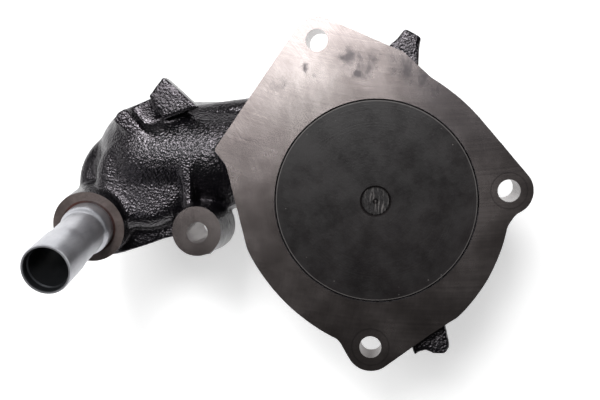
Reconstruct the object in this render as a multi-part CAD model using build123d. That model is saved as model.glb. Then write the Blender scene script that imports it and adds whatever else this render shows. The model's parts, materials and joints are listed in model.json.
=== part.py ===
from build123d import *
import math
import os

# Belt-driven coolant pump for a diesel engine, in millimetres.
# Origin: centre of the machined mounting face, on the shaft axis.
# +Z points out of the mounting face towards the engine, +Y is up on the engine, the belt side is -Z.

# ---- driving dimensions -------------------------------------------------------------------------

# mounting flange
FLANGE_T = 9.0
BOLT_HOLE_R = 5.5
TOP_HOLE = (-29.0, 79.3)
RIGHT_HOLE = (64.8, 5.4)
BOTTOM_HOLE = (-2.4, -73.3)
TOP_LUG_R = 11.6
RIGHT_LUG_R = 11.8
BOTTOM_LUG_R = 12.3
TOP_BOSS_DEPTH = 26.0
RIGHT_BOSS_DEPTH = 33.0
LEFT_CORNER = (-80.8, 25.5)

# separate bolt lug beside the elbow
SIDE_LUG_HOLE = (-90.0, -16.4)
SIDE_LUG_R = 12.6
SIDE_LUG_FOOT_R = 14.2
SIDE_LUG_DEPTH = 35.0

# wet end
BORE_R = 50.2
BORE_CHAMFER = 0.35
SCROLL_R = 57.5
BODY_R = 63.6
SCROLL_TOP_Z = -4.5
SHROUD_Z = -18.4
SCROLL_FLOOR_Z = -22.0
BODY_BOTTOM_Z = -28.0
EYE_R = 26.0
SUCTION_R = 33.0
SUCTION_TOP_Z = -27.0
SUCTION_FLOOR_Z = -52.0
CHANNEL_L = 84.0
CHANNEL_W = 40.0
CHANNEL_H = 24.0
CHANNEL_Z = -39.5
CHANNEL_CORNER_R = 9.0

# outside of the scroll below the flange, and the cast ears
CONE_TOP_R = 62.0
CONE_MID_R = 46.0
CONE_MID_Z = -48.0
EAR_LOW_Z = -30.0
EAR_TOP_Z = -13.0

# suction duct and elbow
DUCT_Y = 21.8
DUCT_Z = -38.0
DUCT_R = 28.8
DUCT_END_X = -122.5
DUCT_BORE_R = 23.0
ELBOW_X = -130.3
ELBOW_Y = 5.8
COLLAR_R = 31.7
COLLAR_TOP_Z = -27.0
COLLAR_BOTTOM_Z = -66.0
COLLAR_EDGE_R = 5.0
CROWN_AT = (-122.0, 10.0)
CROWN_R = 26.5
CROWN_LOW_Z = -34.0
CROWN_TOP_Z = -12.5
CROWN_EDGE_R = 8.0
PAD_LOW_Z = -18.0
PAD_TOP_Z = -8.0
SPIGOT_R = 27.5
SPIGOT_BORE_R = 23.5
SPIGOT_TAPER_H = 8.0

# outlet on the underside of the scroll
OUTLET_ANGLE = 238.0
OUTLET_Z = -36.0
OUTLET_BORE_R = 11.0
OUTLET_NECK_R = 16.5
OUTLET_FACE_X = 66.0
OUTLET_BOLT_Y = 18.0
OUTLET_TAP_R = 3.4
SCROLL_EXIT_X = 49.0
SCROLL_EXIT_R = 10.0
OUTLET_EAR_R = 7.0
OUTLET_TAP_DEPTH = 14.0

# bypass tube and its seat; tube heights are from the seat, along the tube
SEAT_CENTRE = (-149.4, -14.7, -8.0)
SEAT_TILT = 12.5
SEAT_R = 19.1
SEAT_BOSS_DEPTH = 54.0
SOCKET_R = 13.2
SOCKET_DEPTH = 12.0
SOCKET_MOUTH_R = 14.4
SOCKET_MOUTH_DEPTH = 1.3
TUBE_WALL = 1.4
TUBE_NECK_R = 11.5
TUBE_HOSE_R = 12.1
TUBE_SHOULDER_H = 7.5
TUBE_SWAGE_H = 4.0
TUBE_FLARE_H = 32.0
TUBE_HOSE_START_H = 40.0
TUBE_BORE_STEP = 4.5
TUBE_LENGTH = 61.5
BYPASS_R = 10.5
BYPASS_AT = (-147.0, -6.0)
BYPASS_TOP_Z = -28.0
BYPASS_BOTTOM_Z = -58.0

# seal wall, weep chamber and bearing nose
SEAL_BORE_R = 18.25
SEAL_WALL_BOTTOM_Z = -60.0
WEEP_R = 21.0
BEARING_R = 23.5
BEARING_TOP_Z = -66.0
BEARING_BOTTOM_Z = -108.0
NOSE_TOP_R = 31.0
NOSE_END_R = 28.5
NOSE_END_Z = -112.0
NOSE_TOP_Z = -62.0
NOSE_LIP_H = 8.0
NOSE_LIP_T = 1.5
NOSE_RIB_T = 6.0
NOSE_RIB_ANGLES = (-40, 30, 100, 190)
CIRCLIP_LOW_Z = -110.0
CIRCLIP_TOP_Z = -108.3
WEEP_HOLE_R = 2.5
WEEP_HOLE_L = 26.0
REST_Z = -124.0

# shaft
SHAFT_END_R = 7.0
SHAFT_SEAL_R = 8.0
SHAFT_RACE_R = 12.5
SHAFT_HUB_R = 10.0
IMPELLER_SEAT_Z = -23.0
HUB_SHOULDER_Z = -110.5
SHAFT_BOTTOM_Z = -122.5

# impeller
IMPELLER_R = 49.85
IMPELLER_BACK_Z = -0.5
IMPELLER_PLATE_T = 4.0
IMPELLER_EDGE = 0.3
END_CHAMFER = 0.9
VANE_BOTTOM_Z = -17.8
VANE_COUNT = 7
VANE_T = 3.2
IMPELLER_HUB_R = 12.0

# bearing elements
BALL_R = 3.9
BALL_COUNT = 9
BALL_ROW_Z = -77.0
BALL_PITCH_R = 15.45
ROLLER_R = 2.5
ROLLER_L = 12.0
ROLLER_COUNT = 14
ROLLER_ROW_Z = -94.5
ROLLER_PITCH_R = 15.08
RACE_BORE_R = 17.66
CAGE_IN_R = 13.3
CAGE_OUT_R = 16.7

# pulley hub
HUB_FLANGE_R = 38.0
HUB_FLANGE_T = 8.0
HUB_BOSS_R = 18.0
HUB_TOP_Z = -113.5
HUB_BOLT_PCD = 56.0
HUB_BOLT_R = 4.0
HUB_BOLT_COUNT = 4

FIT_GAP = 0.01
FIT_END_GAP = 0.3
CUT_PAST = 6.0


# ---- helpers ------------------------------------------------------------------------------------

def write(shape, name):
    """Write one node, as a single solid or as a group of separate solids."""
    solids = shape.solids()
    kept = solids[0] if len(solids) == 1 else Compound(children=list(solids))
    export_step(kept, f"parts/{name}.step")


def upright(radius, low_z, high_z, at=(0.0, 0.0)):
    """Cylinder along Z between two heights."""
    place = Pos(at[0], at[1], (low_z + high_z) / 2)
    return place * Cylinder(radius, high_z - low_z)


def tapered(low_r, high_r, low_z, high_z, at=(0.0, 0.0)):
    """Cone along Z between two heights, given the radius at each end."""
    place = Pos(at[0], at[1], (low_z + high_z) / 2)
    return place * Cone(low_r, high_r, high_z - low_z)


def ring(outer_r, inner_r, low_z, high_z):
    """Round tube about the shaft axis."""
    return upright(outer_r, low_z, high_z) - upright(inner_r, low_z - 1, high_z + 1)


def prism(points, low_z, high_z):
    """Straight-sided block on a closed outline of XY points."""
    face = make_face(Polyline(*points, close=True))
    return extrude(Pos(0, 0, low_z) * face, high_z - low_z)


def turned(points):
    """Solid of revolution about Z from (radius, z) corners."""
    outline = Plane.XZ * make_face(Polyline(*points, close=True))
    return revolve(outline, Axis.Z)


def along_x(radius, low_x, high_x, y, z):
    """Cylinder along X between two stations."""
    return Pos((low_x + high_x) / 2, y, z) * Rot(0, 90, 0) * Cylinder(radius, high_x - low_x)


def polar(radius, degrees):
    """Point on a circle about the shaft axis."""
    angle = math.radians(degrees)
    return (radius * math.cos(angle), radius * math.sin(angle))


def on_circle(centre, radius, degrees):
    """Point on a circle about any centre."""
    dx, dy = polar(radius, degrees)
    return (centre[0] + dx, centre[1] + dy)


def tangent_point(point, centre, radius, side):
    """Where a line from a point touches a circle; side is +1 or -1."""
    dx = point[0] - centre[0]
    dy = point[1] - centre[1]
    distance = math.hypot(dx, dy)
    swing = math.degrees(math.acos(radius / distance))
    return on_circle(centre, radius, math.degrees(math.atan2(dy, dx)) + side * swing)


# ---- pump housing -------------------------------------------------------------------------------

def flange_outline():
    """Edge of the mounting flange, taken anticlockwise from the left corner's notch."""
    notch = (-74.8, 17.9)
    left_low = polar(69.0, 200.9)
    lower_left_end = polar(72.4, 255.4)
    bottom_lug_start = on_circle(BOTTOM_HOLE, BOTTOM_LUG_R, 206)
    web_corner = (27.9, -65.8)
    bottom_lug_end = tangent_point(web_corner, BOTTOM_HOLE, BOTTOM_LUG_R, -1)
    lower_right_start = polar(70.4, 305.2)
    lower_right_end = polar(65.4, 349.6)
    right_lug_start = on_circle(RIGHT_HOLE, RIGHT_LUG_R, -72)
    upper_right_start = polar(65.0, 36.0)
    right_lug_end = tangent_point(upper_right_start, RIGHT_HOLE, RIGHT_LUG_R, -1)
    upper_right_end = polar(66.2, 66.0)
    shoulder = (13.4, 73.0)
    top_lug_start = tangent_point(shoulder, TOP_HOLE, TOP_LUG_R, 1)
    top_lug_end = tangent_point(LEFT_CORNER, TOP_HOLE, TOP_LUG_R, -1)
    edges = [
        Line(LEFT_CORNER, notch),
        Line(notch, left_low),
        ThreePointArc(left_low, polar(68.3, 226.0), lower_left_end),
        Line(lower_left_end, bottom_lug_start),
        ThreePointArc(bottom_lug_start, on_circle(BOTTOM_HOLE, BOTTOM_LUG_R, 262), bottom_lug_end),
        Line(bottom_lug_end, web_corner),
        Line(web_corner, lower_right_start),
        ThreePointArc(lower_right_start, polar(66.6, 329.0), lower_right_end),
        Line(lower_right_end, right_lug_start),
        ThreePointArc(right_lug_start, on_circle(RIGHT_HOLE, RIGHT_LUG_R, -10), right_lug_end),
        Line(right_lug_end, upper_right_start),
        ThreePointArc(upper_right_start, polar(64.8, 50.0), upper_right_end),
        Line(upper_right_end, shoulder),
        Line(shoulder, top_lug_start),
        ThreePointArc(top_lug_start, on_circle(TOP_HOLE, TOP_LUG_R, 100), top_lug_end),
        Line(top_lug_end, LEFT_CORNER),
    ]
    return make_face(Wire(edges))


def seat_frame():
    """Plane of the bypass tube's seat: tipped so that the tube leans towards -Y as it rises."""
    return Location(SEAT_CENTRE) * Rot(SEAT_TILT, 0, 0)


def housing_body():
    """Outer form of the casting around the wet end and the bearing."""
    body = extrude(Pos(0, 0, -FLANGE_T) * flange_outline(), FLANGE_T)
    body += upright(BODY_R, BODY_BOTTOM_Z, -FLANGE_T)
    body += upright(TOP_LUG_R + 0.6, -TOP_BOSS_DEPTH, -FLANGE_T, TOP_HOLE)
    body += upright(RIGHT_LUG_R, -RIGHT_BOSS_DEPTH, -FLANGE_T, RIGHT_HOLE)
    top_web = [(-34, 50), (-38, 74), (-20, 74), (4, 60)]
    body += prism(top_web, -TOP_BOSS_DEPTH, -FLANGE_T)
    # front cone of the scroll, down to the bearing nose
    body += tapered(CONE_MID_R, CONE_TOP_R, CONE_MID_Z, BODY_BOTTOM_Z)
    body += tapered(NOSE_TOP_R, CONE_MID_R, NOSE_TOP_Z, CONE_MID_Z)
    body += tapered(NOSE_END_R, NOSE_TOP_R, NOSE_END_Z, NOSE_TOP_Z)
    body += upright(NOSE_END_R + NOSE_LIP_T, NOSE_END_Z, NOSE_END_Z + NOSE_LIP_H)
    return body


def nose_ribs():
    """Radial ribs that stiffen the bearing nose."""
    profile = [(20, -50), (52, -30), (52, -40), (34, -92), (20, -92)]
    blade = Plane.XZ * make_face(Polyline(*profile, close=True))
    rib = extrude(blade, NOSE_RIB_T / 2, both=True)
    return [Rot(0, 0, angle) * rib for angle in NOSE_RIB_ANGLES]


def cast_ears():
    """Two ears that stand out past the flange on the belt side, at the top and at the bottom."""
    upper = [(1, 62), (6.4, 78.0), (9.6, 80.0), (14.2, 86.0), (22.4, 81.2), (21.4, 76.6), (20.8, 62)]
    lower = [
        (14, -62), (19.8, -80.6), (22.4, -78.4), (25.6, -77.6), (29.4, -79.4),
        (35.6, -79.2), (38.0, -75.4), (37.0, -71.5), (35.0, -62),
    ]
    return [prism(edge, EAR_LOW_Z, EAR_TOP_Z) for edge in (upper, lower)]


def elbow_body():
    """Suction duct, elbow, collar, hose spigot and tube boss, without their bores."""
    body = along_x(DUCT_R, DUCT_END_X, -30.0, DUCT_Y, DUCT_Z)
    body += Pos(DUCT_END_X, DUCT_Y, DUCT_Z) * Sphere(DUCT_R)
    # rounded crown over the bend
    crown = upright(CROWN_R, CROWN_LOW_Z, CROWN_TOP_Z, CROWN_AT)
    crown = fillet(crown.edges().group_by(Axis.Z)[-1], CROWN_EDGE_R)
    body += crown
    collar = upright(COLLAR_R, COLLAR_BOTTOM_Z, COLLAR_TOP_Z, (ELBOW_X, ELBOW_Y))
    collar = fillet(collar.edges().group_by(Axis.Z)[-1], COLLAR_EDGE_R)
    body += collar
    # plain hose spigot
    here = (ELBOW_X, ELBOW_Y)
    body += tapered(SPIGOT_R, COLLAR_R, COLLAR_BOTTOM_Z - SPIGOT_TAPER_H, COLLAR_BOTTOM_Z, here)
    body += upright(SPIGOT_R, REST_Z, COLLAR_BOTTOM_Z, here)
    # boss that carries the bypass tube
    boss = Pos(0, 0, -SEAT_BOSS_DEPTH / 2) * Cone(SEAT_R - 1.0, SEAT_R, SEAT_BOSS_DEPTH)
    body += seat_frame() * boss
    # belly between the tube boss and the side lug
    belly = [
        (-152, -33.5), (-137, -30.6), (-124, -26.4), (-112, -22.2), (-100, -20),
        (-97, 6), (-106, 30), (-150, 20),
    ]
    body += prism(belly, -60.0, -24.0)
    shelf = [(-148, -20), (-118, -14), (-106, 2), (-112, 20), (-146, 14)]
    body += prism(shelf, -30.0, -17.0)
    return body


def elbow_details():
    """Raised cast features on the top of the duct and elbow."""
    pad = prism([(-108.4, 63.0), (-90.8, 47.2), (-109.0, 41.0), (-116.4, 52.8)], PAD_LOW_Z, PAD_TOP_Z)
    neck_edge = [(-109.5, 59.0), (-97.0, 47.0), (-108.0, 40.0), (-115.5, 52.0)]
    pad_neck = prism(neck_edge, -46.0, PAD_LOW_Z)
    web_edge = [(-126, 46), (-112, 52), (-96, 46), (-72, 46), (-72, 34), (-126, 34)]
    pad_web = prism(web_edge, -44.0, -29.0)
    top_ridge = Pos(-80.0, 43.6, -27.0) * Rot(0, 0, 7.0) * Rot(0, 90, 0) * Cylinder(7.0, 44.0)
    # diagonal rib at the bend, with a shallow dish between it and the pad
    rib_edge = [(-136.5, 40.5), (-133.7, 44.8), (-129.3, 47.2), (-116.5, 31.5), (-121.0, 27.5)]
    rib = prism(rib_edge, -40.0, -11.0)
    lobe_edge = [(-137.5, 40.5), (-133.0, 45.0), (-124.0, 47.0), (-120.0, 36.0), (-134.0, 31.0)]
    lobe = prism(lobe_edge, -42.0, -15.5)
    dish = prism([(-128.0, 47.5), (-117.5, 52.0), (-111.0, 44.0), (-121.0, 38.0)], -40.0, -15.0)
    return [pad, pad_neck, pad_web, top_ridge, rib, lobe, dish]


def side_lug():
    """Bolt lug beside the elbow, with the webs that join it to the duct."""
    lug = tapered(SIDE_LUG_FOOT_R, SIDE_LUG_R, -SIDE_LUG_DEPTH, 0.0, (-90.3, -15.6))
    web = prism([(-99.8, -8), (-100.2, 24), (-94.8, 24), (-94.2, -6)], -34.0, -9.0)
    apron_edge = [(-122, -20), (-104, -22), (-84, -22), (-79.5, -6), (-66, -1), (-66, 12), (-122, 12)]
    apron = prism(apron_edge, -44.0, -24.0)
    return [lug, web, apron]


def outlet_neck():
    """Outlet neck of the scroll, drawn along +X and turned to its angle, with an ear for each bolt."""
    neck = along_x(OUTLET_NECK_R, 36.0, OUTLET_FACE_X, 0.0, OUTLET_Z)
    for side in (-1, 1):
        neck += along_x(OUTLET_EAR_R, 44.0, OUTLET_FACE_X, side * OUTLET_BOLT_Y, OUTLET_Z)
    return Rot(0, 0, OUTLET_ANGLE) * neck


def outlet_passage():
    """Way out of the scroll: down through its floor, then outwards, with two tapped holes beside it."""
    passage = upright(SCROLL_EXIT_R, OUTLET_Z, SHROUD_Z + 0.1, (SCROLL_EXIT_X, 0.0))
    passage += along_x(OUTLET_BORE_R, 42.0, OUTLET_FACE_X + 1.0, 0.0, OUTLET_Z)
    tap_end = OUTLET_FACE_X - OUTLET_TAP_DEPTH
    for side in (-1, 1):
        passage += along_x(OUTLET_TAP_R, tap_end, OUTLET_FACE_X + 1.0, side * OUTLET_BOLT_Y, OUTLET_Z)
    return Rot(0, 0, OUTLET_ANGLE) * passage


def wet_cavities():
    """Impeller bore, scroll, suction chamber, duct, elbow and outlet passages."""
    cuts = [upright(BORE_R, SHROUD_Z, 1.0)]
    cuts.append(upright(SCROLL_R, SCROLL_FLOOR_Z, SCROLL_TOP_Z) - upright(BORE_R, -40.0, 0.0))
    cuts.append(tapered(BORE_R, BORE_R + BORE_CHAMFER, -BORE_CHAMFER, 0.0))
    cuts.append(upright(EYE_R, SUCTION_TOP_Z - 1.0, SHROUD_Z + 0.1))
    cuts.append(upright(SUCTION_R, SUCTION_FLOOR_Z, SUCTION_TOP_Z))
    channel = Pos(-CHANNEL_L / 2, DUCT_Y, CHANNEL_Z) * Box(CHANNEL_L, CHANNEL_W, CHANNEL_H)
    channel = fillet(channel.edges().filter_by(Axis.X), CHANNEL_CORNER_R)
    cuts.append(channel)
    cuts.append(along_x(DUCT_BORE_R, DUCT_END_X, -78.0, DUCT_Y, DUCT_Z))
    cuts.append(Pos(DUCT_END_X, DUCT_Y, DUCT_Z) * Sphere(DUCT_BORE_R))
    here = (ELBOW_X, ELBOW_Y)
    cuts.append(upright(SPIGOT_BORE_R, REST_Z - 1.0, DUCT_Z, here))
    cuts.append(Pos(ELBOW_X, ELBOW_Y, DUCT_Z) * Sphere(SPIGOT_BORE_R))
    # passage from the foot of the bypass tube into the elbow
    cuts.append(upright(BYPASS_R, BYPASS_BOTTOM_Z, BYPASS_TOP_Z, BYPASS_AT))
    cuts.append(outlet_passage())
    return cuts


def dry_cavities():
    """Seal bore, weep chamber, bearing bore and the drain hole between them."""
    cuts = [upright(SEAL_BORE_R, SEAL_WALL_BOTTOM_Z - 1.0, SUCTION_FLOOR_Z + 1.0)]
    cuts.append(upright(WEEP_R, BEARING_TOP_Z - 0.5, SEAL_WALL_BOTTOM_Z))
    cuts.append(upright(BEARING_R, NOSE_END_Z - 1.0, BEARING_TOP_Z))
    cuts.append(upright(BEARING_R + 1.4, CIRCLIP_LOW_Z - 0.1, CIRCLIP_TOP_Z + 0.1))
    weep_z = (SEAL_WALL_BOTTOM_Z + BEARING_TOP_Z) / 2
    drain = Pos(0, -28.0, weep_z) * Rot(90, 0, 0) * Cylinder(WEEP_HOLE_R, WEEP_HOLE_L)
    cuts.append(drain)
    return cuts


def fastener_holes():
    """Bolt holes of the flange and the side lug."""
    holes = [upright(BOLT_HOLE_R, -60.0, 1.0, at) for at in (TOP_HOLE, RIGHT_HOLE, BOTTOM_HOLE)]
    holes.append(upright(BOLT_HOLE_R, -60.0, 1.0, SIDE_LUG_HOLE))
    return holes


def tube_socket():
    """Stepped hole that takes the bypass tube, with a countersunk mouth."""
    above = 0.5
    socket = Pos(0, 0, (above - SOCKET_DEPTH) / 2) * Cylinder(SOCKET_R, SOCKET_DEPTH + above)
    mouth_h = SOCKET_MOUTH_DEPTH + above
    socket += Pos(0, 0, above - mouth_h / 2) * Cylinder(SOCKET_MOUTH_R, mouth_h)
    way_down = 56.0
    socket += Pos(0, 0, -way_down / 2) * Cylinder(SOCKET_R - 2.4, way_down)
    # machined plane of the seat: everything above it is cleared away
    cleared = 30.0
    clearing = Pos(0, 0, cleared / 2) * Cylinder(SEAT_R + 9.0, cleared)
    return [seat_frame() * socket, seat_frame() * clearing]


def pump_housing():
    body = housing_body()
    body += elbow_body()
    for piece in nose_ribs() + cast_ears() + elbow_details() + side_lug() + [outlet_neck()]:
        body += piece
    body -= Pos(0, 0, 25.0) * Box(500.0, 500.0, 50.0)
    for cut in wet_cavities() + dry_cavities() + fastener_holes() + tube_socket():
        body -= cut
    return body


# ---- bypass tube --------------------------------------------------------------------------------

def bypass_tube():
    """Swaged steel tube: wide in the socket, a rounded shoulder, a neck, and a wider end for the hose."""
    wall = TUBE_WALL
    low = FIT_END_GAP - SOCKET_DEPTH
    wide = SOCKET_R - FIT_GAP
    neck = TUBE_NECK_R
    hose = TUBE_HOSE_R
    swage_low = TUBE_SHOULDER_H - 2.5
    swage_mid = TUBE_SHOULDER_H + 1.2
    swage_high = TUBE_SHOULDER_H + TUBE_SWAGE_H
    end = TUBE_LENGTH
    edge = 0.7
    upwards = [(0, 1), (0, 1)]
    outline = [
        Line((wide - wall, low), (wide, low)),
        Line((wide, low), (wide, swage_low)),
        Spline((wide, swage_low), (neck + 1.1, swage_mid), (neck, swage_high), tangents=upwards),
        Line((neck, swage_high), (neck, TUBE_FLARE_H)),
        Spline((neck, TUBE_FLARE_H), (hose, TUBE_HOSE_START_H), tangents=upwards),
        Line((hose, TUBE_HOSE_START_H), (hose, end - edge)),
        Line((hose, end - edge), (hose - edge / 2, end)),
        Line((hose - edge / 2, end), (hose - wall + edge / 2, end)),
        Line((hose - wall + edge / 2, end), (hose - wall, end - edge)),
        Line((hose - wall, end - edge), (hose - wall, end - TUBE_BORE_STEP)),
        Line((hose - wall, end - TUBE_BORE_STEP), (neck - wall, end - TUBE_BORE_STEP - edge)),
        Line((neck - wall, end - TUBE_BORE_STEP - edge), (neck - wall, swage_high - 1.0)),
        Line((neck - wall, swage_high - 1.0), (wide - wall, swage_low)),
        Line((wide - wall, swage_low), (wide - wall, low)),
    ]
    profile = Plane.XZ * make_face(Wire(outline))
    return seat_frame() * revolve(profile, Axis.Z)


def tube_sealant():
    """Ring of retaining compound that fills the countersunk mouth of the socket."""
    bead_h = SOCKET_MOUTH_DEPTH - 0.1
    bead = Pos(0, 0, -SOCKET_MOUTH_DEPTH / 2) * Cylinder(SOCKET_MOUTH_R - 2 * FIT_GAP, bead_h)
    bead -= Cylinder(SOCKET_R + 2 * FIT_GAP, 6.0)
    return seat_frame() * bead


# ---- rotor --------------------------------------------------------------------------------------

def shaft():
    groove_r = BALL_R + 0.12
    body = turned([
        (0, SHAFT_BOTTOM_Z), (SHAFT_HUB_R - 1, SHAFT_BOTTOM_Z), (SHAFT_HUB_R, SHAFT_BOTTOM_Z + 1),
        (SHAFT_HUB_R, HUB_SHOULDER_Z), (SHAFT_RACE_R, HUB_SHOULDER_Z + 1),
        (SHAFT_RACE_R, -67.0), (SHAFT_RACE_R - 1.5, -65.5),
        (SHAFT_SEAL_R, -65.5), (SHAFT_SEAL_R, IMPELLER_SEAT_Z), (SHAFT_END_R, IMPELLER_SEAT_Z),
        (SHAFT_END_R, -1.0), (SHAFT_END_R - 0.5, -0.5), (0, -0.5),
    ])
    body -= Pos(0, 0, BALL_ROW_Z) * Torus(BALL_PITCH_R, groove_r)
    # centre drilling in the end that shows
    body -= Pos(0, 0, -1.2) * Cone(0.4, 1.6, 1.8)
    return body


def vane():
    """One backward-curved vane, from the hub to the rim."""
    lean = 46.0
    inner = polar(IMPELLER_HUB_R - 1.0, 0.0)
    middle = polar(30.0, -lean * 0.42)
    outer = polar(IMPELLER_R - 1.4, -lean)
    path = ThreePointArc(inner, middle, outer)
    face = trace(path, VANE_T)
    return extrude(Pos(0, 0, VANE_BOTTOM_Z) * face, -IMPELLER_PLATE_T - VANE_BOTTOM_Z)


def impeller():
    plate_bottom = IMPELLER_BACK_Z - IMPELLER_PLATE_T
    body = upright(IMPELLER_R, plate_bottom, IMPELLER_BACK_Z)
    body = chamfer(body.edges().group_by(Axis.Z)[-1], IMPELLER_EDGE)
    body += tapered(IMPELLER_HUB_R, IMPELLER_HUB_R + 3.0, VANE_BOTTOM_Z, plate_bottom)
    body += upright(IMPELLER_HUB_R, IMPELLER_SEAT_Z + 0.6, VANE_BOTTOM_Z)
    blade = vane()
    for index in range(VANE_COUNT):
        body += Rot(0, 0, index * 360 / VANE_COUNT) * blade
    body &= upright(IMPELLER_R, -40.0, 1.0)
    body -= upright(SHAFT_END_R + FIT_GAP, -40.0, 1.0)
    # countersink around the shaft end
    body -= tapered(SHAFT_END_R, SHAFT_END_R + END_CHAMFER, IMPELLER_BACK_Z - END_CHAMFER, IMPELLER_BACK_Z)
    return body


def pulley_hub():
    body = upright(HUB_BOSS_R, REST_Z, HUB_TOP_Z)
    flange = upright(HUB_FLANGE_R, REST_Z, REST_Z + HUB_FLANGE_T)
    body += chamfer(flange.edges().filter_by(GeomType.CIRCLE), 0.8)
    low = REST_Z - CUT_PAST
    high = HUB_TOP_Z + CUT_PAST
    body -= upright(SHAFT_HUB_R + FIT_GAP, low, high)
    for index in range(HUB_BOLT_COUNT):
        at = polar(HUB_BOLT_PCD / 2, 45 + index * 360 / HUB_BOLT_COUNT)
        body -= upright(HUB_BOLT_R, low, high, at)
    return body


def slinger():
    """Thin dished disc that throws leaked coolant towards the drain hole."""
    inner = SHAFT_SEAL_R + FIT_GAP
    return turned([
        (inner, -64.6), (inner + 1.4, -64.6), (inner + 1.4, -63.4), (17.5, -62.2),
        (17.5, -61.4), (inner, -62.6),
    ])


# ---- mechanical seal ----------------------------------------------------------------------------

def seat_cup():
    """Rubber cup that grips the shaft and carries the ceramic seat."""
    inner = SHAFT_SEAL_R + FIT_GAP
    return turned([
        (inner, -30.0), (inner + 1.2, -30.0), (inner + 1.2, -26.0), (13.6, -26.0),
        (13.6, -30.5), (15.2, -30.5), (15.2, -24.0), (inner, -24.0),
    ])


def ceramic_seat():
    return ring(13.58, SHAFT_SEAL_R + 1.22, -32.0, -26.02)


def carbon_ring():
    """Stationary sealing face, with a stepped nose towards the ceramic."""
    return turned([
        (9.2, -37.5), (13.0, -37.5), (13.0, -34.2), (12.0, -34.2), (12.0, -32.02), (9.2, -32.02),
    ])


def face_ferrule():
    """Pressed ring that holds the carbon to the nose of the bellows."""
    return turned([
        (13.02, -40.0), (13.9, -40.0), (13.9, -34.4), (13.02, -34.4),
    ])


def seal_bellows():
    """Rubber bellows between the carbon and the bottom of the cup."""
    return turned([
        (9.4, -58.0), (15.6, -58.0), (15.6, -55.6), (11.6, -55.6), (11.6, -52.0),
        (13.0, -49.5), (13.0, -47.5), (11.2, -44.5), (11.2, -41.0), (12.9, -40.2),
        (12.9, -37.6), (9.6, -37.6), (9.6, -44.5), (11.4, -48.5), (9.6, -52.0),
    ])


def seal_spring():
    """Open coil spring that loads the carbon, with its ends resting in flat seats."""
    wire_r = 0.75
    turns = 4.0
    low = -54.6
    high = -41.2
    coil = Helix(pitch=(high - low) / turns, height=high - low, radius=14.9)
    section = Plane(origin=coil @ 0, z_dir=coil % 0) * Circle(wire_r)
    wire = sweep(section, path=coil)
    return Pos(0, 0, low) * wire


def seal_cup():
    """Pressed brass cup of the seal, held in the bore of the seal wall."""
    outer = SEAL_BORE_R - FIT_GAP
    return turned([
        (9.2, -59.8), (outer, -59.8), (outer, -51.98), (20.8, -51.98), (20.8, -51.0),
        (17.3, -51.0), (17.3, -58.8), (15.8, -58.8), (15.8, -58.05), (9.2, -58.05),
    ])


# ---- bearing ------------------------------------------------------------------------------------

def bearing_outer_ring():
    outer = BEARING_R - FIT_GAP
    low = BEARING_BOTTOM_Z
    high = BEARING_TOP_Z - FIT_GAP
    edge = 0.8
    body = turned([
        (RACE_BORE_R, low), (outer - edge, low), (outer, low + edge),
        (outer, high - edge), (outer - edge, high), (RACE_BORE_R, high),
    ])
    body -= Pos(0, 0, BALL_ROW_Z) * Torus(BALL_PITCH_R, BALL_R + 0.12)
    return body


def bearing_seal(low_z, high_z):
    """Lip seal between the outer ring and the shaft: a stiff washer with a thinner lip."""
    middle = (low_z + high_z) / 2
    return turned([
        (SHAFT_RACE_R + 0.06, middle - 0.3), (14.2, low_z), (RACE_BORE_R - 0.02, low_z),
        (RACE_BORE_R - 0.02, high_z), (14.2, high_z), (SHAFT_RACE_R + 0.06, middle + 0.3),
    ])


def ball_positions():
    return [polar(BALL_PITCH_R, index * 360 / BALL_COUNT) for index in range(BALL_COUNT)]


def bearing_balls():
    balls = [Pos(x, y, BALL_ROW_Z) * Sphere(BALL_R) for x, y in ball_positions()]
    return Compound(children=balls)


def ball_cage():
    cage = ring(CAGE_OUT_R, CAGE_IN_R, BALL_ROW_Z - 5.5, BALL_ROW_Z + 5.5)
    for index in range(BALL_COUNT):
        pocket = Pos(BALL_PITCH_R, 0, BALL_ROW_Z) * Rot(0, 90, 0) * Cylinder(BALL_R + 0.15, 8.0)
        cage -= Rot(0, 0, index * 360 / BALL_COUNT) * pocket
    return cage


def roller_positions():
    step = 360 / ROLLER_COUNT
    return [polar(ROLLER_PITCH_R, index * step) for index in range(ROLLER_COUNT)]


def bearing_rollers():
    low = ROLLER_ROW_Z - ROLLER_L / 2
    high = ROLLER_ROW_Z + ROLLER_L / 2
    rollers = []
    for at in roller_positions():
        roller = upright(ROLLER_R, low, high, at)
        rollers.append(chamfer(roller.edges().filter_by(GeomType.CIRCLE), 0.3))
    return Compound(children=rollers)


def roller_cage():
    cage = ring(CAGE_OUT_R, CAGE_IN_R, ROLLER_ROW_Z - 8.0, ROLLER_ROW_Z + 8.0)
    for at in roller_positions():
        low = ROLLER_ROW_Z - ROLLER_L / 2 - 0.2
        high = ROLLER_ROW_Z + ROLLER_L / 2 + 0.2
        cage -= upright(ROLLER_R + 0.12, low, high, at)
    return cage


def bearing_circlip():
    """Internal retaining ring in front of the bearing, open at its ends."""
    clip = ring(BEARING_R + 1.3, BEARING_R - 2.2, CIRCLIP_LOW_Z, CIRCLIP_TOP_Z)
    clip -= Pos(0, -24.0, -109.0) * Box(9.0, 12.0, 6.0)
    return clip


# ---- build --------------------------------------------------------------------------------------

os.makedirs("parts", exist_ok=True)

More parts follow.
